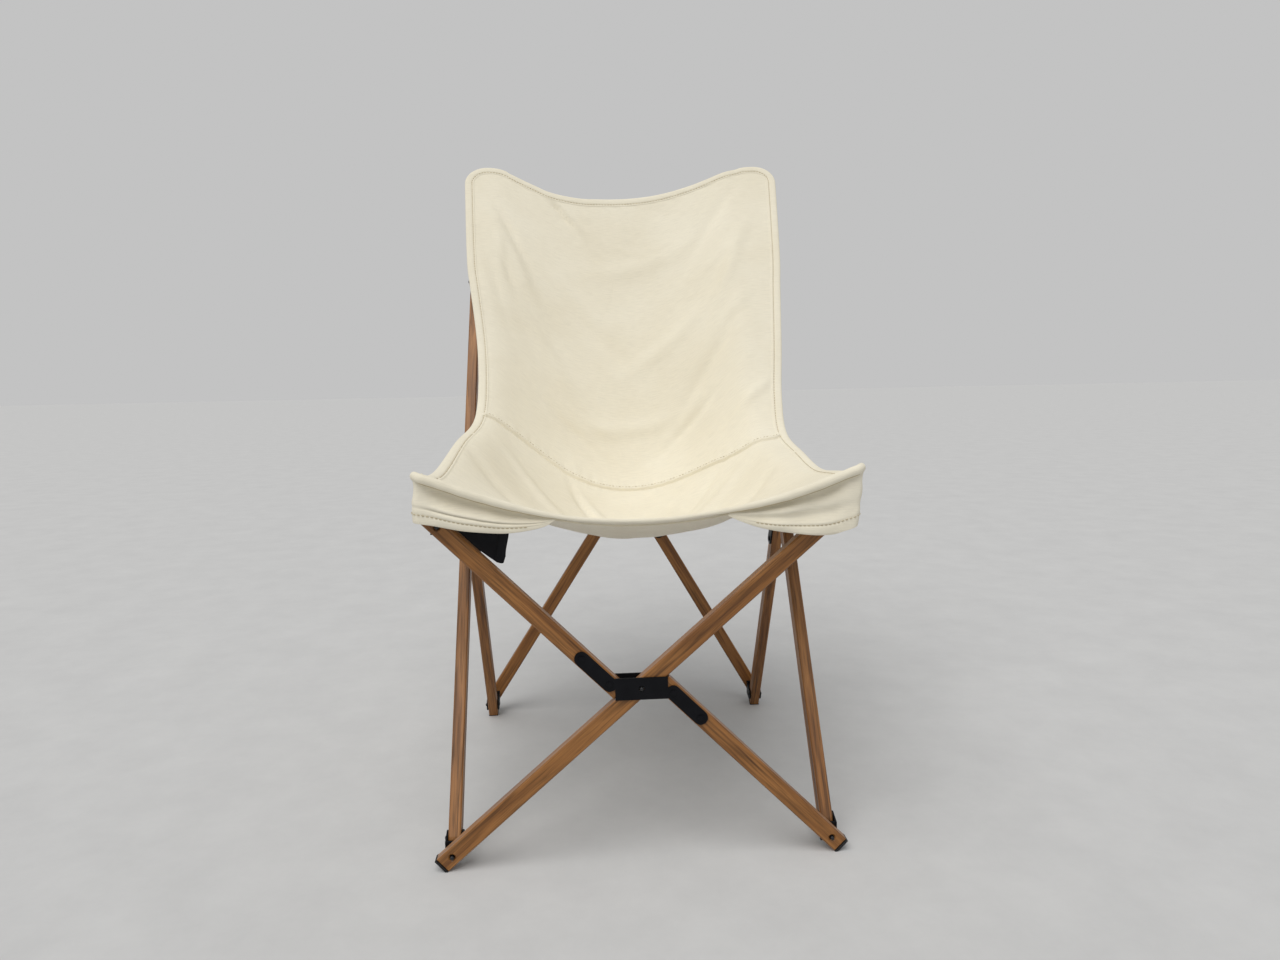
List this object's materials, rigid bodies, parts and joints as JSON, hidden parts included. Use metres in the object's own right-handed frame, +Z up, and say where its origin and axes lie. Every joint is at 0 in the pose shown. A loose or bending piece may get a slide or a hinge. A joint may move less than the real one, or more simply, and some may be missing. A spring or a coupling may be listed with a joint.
{
  "type": "folding sling chair",
  "caption": "Folding sling chair: scissor frames of flat wood rods with black steel plates and brackets carry a canvas sling with pockets; the frame folds to an upright bundle.",
  "frame": {"origin": "middle of the bounding box's underside, on the floor", "axes": "+X to the right seen from the front, +Y to the back, +Z up"},
  "size_m": [0.524, 0.615, 0.9235],
  "materials": {
    "wood": "walnut brown, satin",
    "black_steel": "black satin paint",
    "rubber": "matte black",
    "canvas": "cream cotton canvas",
    "black_cloth": "black woven cloth"
  },
  "bodies": {
    "left_foot_bracket": {"front_foot_bracket_left": "black_steel", "front_foot_pin_left": "black_steel", "front_foot_cross_pin_left": "black_steel"},
    "front_straight_rod": {"front_straight_rod": "wood", "front_foot_cap_left": "rubber", "front_tip_cap_right": "rubber"},
    "front_split_rod": {"front_split_rod_upper": "wood", "front_split_rod_lower": "wood", "front_plate_front": "black_steel", "front_plate_back": "black_steel", "front_pivot_pin": "black_steel", "front_foot_cap_right": "rubber", "front_tip_cap_left": "rubber"},
    "right_foot_bracket": {"front_foot_bracket_right": "black_steel", "front_foot_pin_right": "black_steel", "front_foot_cross_pin_right": "black_steel"},
    "left_top_bracket": {"front_top_bracket_left": "black_steel", "front_top_pin_left": "black_steel"},
    "right_top_bracket": {"front_top_bracket_right": "black_steel", "front_top_pin_right": "black_steel"},
    "left_long_rod": {"left_long_rod": "wood", "left_long_rod_tip_cap": "rubber", "sling_back": "canvas", "top_pocket_left": "canvas", "top_pocket_right": "canvas"},
    "left_strut": {"left_strut": "wood", "left_strut_foot_cap": "rubber", "left_arm": "wood", "left_elbow_plate_inner": "black_steel", "left_elbow_plate_outer": "black_steel", "left_elbow_pin": "black_steel", "sling_seat": "canvas", "front_pocket_left": "canvas", "front_pocket_right": "canvas", "black_pouch": "black_cloth"},
    "left_rear_foot_bracket": {"rear_foot_bracket_left": "black_steel", "rear_foot_pin_left": "black_steel", "rear_foot_cross_pin_left": "black_steel"},
    "left_rear_top_bracket": {"rear_top_bracket_left": "black_steel", "rear_top_pin_left": "black_steel"},
    "right_long_rod": {"right_long_rod": "wood", "right_long_rod_tip_cap": "rubber"},
    "right_strut": {"right_strut": "wood", "right_strut_foot_cap": "rubber", "right_arm": "wood", "right_elbow_plate_inner": "black_steel", "right_elbow_plate_outer": "black_steel", "right_elbow_pin": "black_steel"},
    "right_rear_foot_bracket": {"rear_foot_bracket_right": "black_steel", "rear_foot_pin_right": "black_steel", "rear_foot_cross_pin_right": "black_steel"},
    "right_rear_top_bracket": {"rear_top_bracket_right": "black_steel", "rear_top_pin_right": "black_steel"},
    "rear_straight_rod": {"rear_straight_rod": "wood", "rear_top_stud_right": "black_steel"},
    "rear_split_rod": {"rear_split_rod_upper": "wood", "rear_split_rod_lower": "wood", "rear_plate_front": "black_steel", "rear_plate_back": "black_steel", "rear_top_stud_left": "black_steel"}
  },
  "joints": [
    {"name": "front_fold", "type": "hinge", "parent": "front_straight_rod", "child": "front_split_rod", "pos_m": [0, -0.28217, 0.213], "axis": [0, 1, 0], "range_deg": [0, 70], "deforming": ["sling_back", "top_pocket_left", "top_pocket_right", "sling_seat", "front_pocket_left", "front_pocket_right", "black_pouch"]},
    {"name": "left_foot_turn", "type": "hinge", "parent": "left_foot_bracket", "child": "front_straight_rod", "pos_m": [-0.225, -0.28217, 0.018], "axis": [0, -1, 0], "range_deg": [0, 35.02]},
    {"name": "right_foot_turn", "type": "hinge", "parent": "front_split_rod", "child": "right_foot_bracket", "pos_m": [0.225, -0.28217, 0.018], "axis": [0, -1, 0], "range_deg": [0, 35.02]},
    {"name": "left_top_turn", "type": "hinge", "parent": "front_split_rod", "child": "left_top_bracket", "pos_m": [-0.225, -0.28217, 0.408], "axis": [0, -1, 0], "range_deg": [0, 35.02]},
    {"name": "right_top_turn", "type": "hinge", "parent": "front_straight_rod", "child": "right_top_bracket", "pos_m": [0.225, -0.28217, 0.408], "axis": [0, 1, 0], "range_deg": [0, 35.02]},
    {"name": "left_long_rod_swing", "type": "hinge", "parent": "left_foot_bracket", "child": "left_long_rod", "pos_m": [-0.225, -0.25817, 0.026], "axis": [1, 0, 0], "range_deg": [0, 13.93]},
    {"name": "left_elbow_fold", "type": "hinge", "parent": "left_long_rod", "child": "left_strut", "pos_m": [-0.225, -0.03317, 0.3765], "axis": [-1, 0, 0], "range_deg": [0, 61.38]},
    {"name": "left_rear_foot_turn", "type": "hinge", "parent": "left_strut", "child": "left_rear_foot_bracket", "pos_m": [-0.225, 0.19183, 0.02], "axis": [1, 0, 0], "range_deg": [0, 30.49]},
    {"name": "left_rear_top_turn", "type": "hinge", "parent": "left_long_rod", "child": "left_rear_top_bracket", "pos_m": [-0.225, 0.19183, 0.727], "axis": [-1, 0, 0], "range_deg": [0, 30.91]},
    {"name": "right_long_rod_swing", "type": "hinge", "parent": "right_foot_bracket", "child": "right_long_rod", "pos_m": [0.225, -0.25817, 0.026], "axis": [1, 0, 0], "range_deg": [0, 13.93]},
    {"name": "right_elbow_fold", "type": "hinge", "parent": "right_long_rod", "child": "right_strut", "pos_m": [0.225, -0.03317, 0.3765], "axis": [-1, 0, 0], "range_deg": [0, 61.38]},
    {"name": "right_rear_foot_turn", "type": "hinge", "parent": "right_strut", "child": "right_rear_foot_bracket", "pos_m": [0.225, 0.19183, 0.02], "axis": [1, 0, 0], "range_deg": [0, 30.49]},
    {"name": "right_rear_top_turn", "type": "hinge", "parent": "right_long_rod", "child": "right_rear_top_bracket", "pos_m": [0.225, 0.19183, 0.727], "axis": [-1, 0, 0], "range_deg": [0, 30.91]},
    {"name": "rear_straight_rod_swing", "type": "hinge", "parent": "left_rear_foot_bracket", "child": "rear_straight_rod", "pos_m": [-0.225, 0.21783, 0.026], "axis": [0, -1, 0], "range_deg": [0, 22.92]},
    {"name": "rear_split_rod_swing", "type": "hinge", "parent": "right_rear_foot_bracket", "child": "rear_split_rod", "pos_m": [0.225, 0.21783, 0.026], "axis": [0, 1, 0], "range_deg": [0, 22.92]}
  ],
  "couplings": [
    {"joint": "left_foot_turn", "follows": "front_fold", "ratio": 0.5},
    {"joint": "right_foot_turn", "follows": "front_fold", "ratio": 0.5},
    {"joint": "left_top_turn", "follows": "front_fold", "ratio": 0.5},
    {"joint": "right_top_turn", "follows": "front_fold", "ratio": 0.5},
    {"joint": "left_long_rod_swing", "follows": "front_fold", "ratio": 0.1987},
    {"joint": "left_elbow_fold", "follows": "front_fold", "ratio": 0.8766},
    {"joint": "left_rear_foot_turn", "follows": "front_fold", "ratio": 0.4353},
    {"joint": "left_rear_top_turn", "follows": "front_fold", "ratio": 0.4413},
    {"joint": "right_long_rod_swing", "follows": "front_fold", "ratio": 0.1987},
    {"joint": "right_elbow_fold", "follows": "front_fold", "ratio": 0.8766},
    {"joint": "right_rear_foot_turn", "follows": "front_fold", "ratio": 0.4353},
    {"joint": "right_rear_top_turn", "follows": "front_fold", "ratio": 0.4413},
    {"joint": "rear_straight_rod_swing", "follows": "front_fold", "ratio": 0.3271},
    {"joint": "rear_split_rod_swing", "follows": "front_fold", "ratio": 0.3271}
  ]
}
